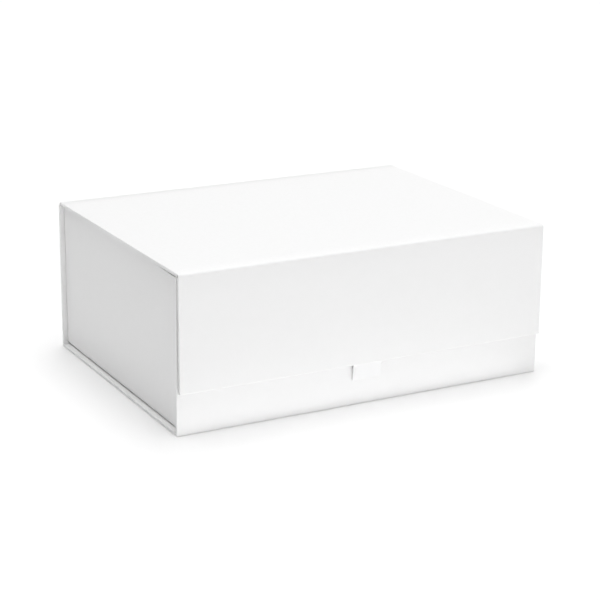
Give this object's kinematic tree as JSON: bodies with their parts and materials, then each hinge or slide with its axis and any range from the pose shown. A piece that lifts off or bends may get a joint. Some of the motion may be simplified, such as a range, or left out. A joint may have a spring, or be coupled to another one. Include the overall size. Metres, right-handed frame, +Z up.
{
  "type": "jewelry gift box",
  "caption": "White paper-wrapped rigid board gift box with a hinged lid, a magnetic front flap with a ribbon pull and a padded jewelry insert.",
  "frame": {"origin": "centre of the underside of the base, midway between the outer faces of the front wall and the spine", "axes": "+Z up from the underside to the lid's top face, +X along the box's length, front wall and flap towards -Y, spine towards +Y"},
  "size_m": [0.256, 0.1886, 0.1],
  "materials": {
    "greyboard": "matte",
    "wrap_paper": "satin",
    "liner_paper": "matte",
    "keeper_steel": "satin",
    "magnet_nickel": "polished",
    "adhesive_tape": "satin",
    "pad_foam": "matte",
    "velvet": "matte",
    "ribbon": "satin"
  },
  "bodies": {
    "tray": {"base_board": "greyboard", "base_wrap": "wrap_paper", "base_liner": "liner_paper", "front_wall_board": "greyboard", "front_wall_wrap": "wrap_paper", "front_wall_liner": "liner_paper", "keeper_discs": "keeper_steel", "spine_board": "greyboard", "spine_wrap": "wrap_paper", "spine_liner": "liner_paper", "side_board_left": "greyboard", "side_wrap_left": "wrap_paper", "side_liner_left": "liner_paper", "side_board_right": "greyboard", "side_wrap_right": "wrap_paper", "side_liner_right": "liner_paper", "wing_front_left": "wrap_paper", "wing_back_left": "wrap_paper", "wing_front_right": "wrap_paper", "wing_back_right": "wrap_paper", "wing_tapes": "adhesive_tape", "pad_foam": "pad_foam", "pad_cover": "velvet"},
    "lid": {"lid_board": "greyboard", "lid_wrap": "wrap_paper", "lid_liner": "liner_paper"},
    "flap": {"flap_board": "greyboard", "flap_wrap": "wrap_paper", "flap_liner": "liner_paper", "flap_magnets": "magnet_nickel", "ribbon_anchor": "ribbon"},
    "pull_tab": {"ribbon_loop": "ribbon"}
  },
  "joints": [
    {"name": "lid_hinge", "type": "hinge", "parent": "tray", "child": "lid", "pos_m": [0, 0.0922, 0.0997], "axis": [-1, 0, 0], "range_deg": [0, 180]},
    {"name": "flap_hinge", "type": "hinge", "parent": "lid", "child": "flap", "pos_m": [0, -0.0947, 0.0997], "axis": [-1, 0, 0], "range_deg": [0, 180]},
    {"name": "ribbon_bend", "type": "hinge", "parent": "flap", "child": "pull_tab", "pos_m": [0, -0.0947, 0.02619], "axis": [-1, 0, 0], "range_deg": [0, 90], "stiffness_Nm_per_rad": 0.00001}
  ]
}
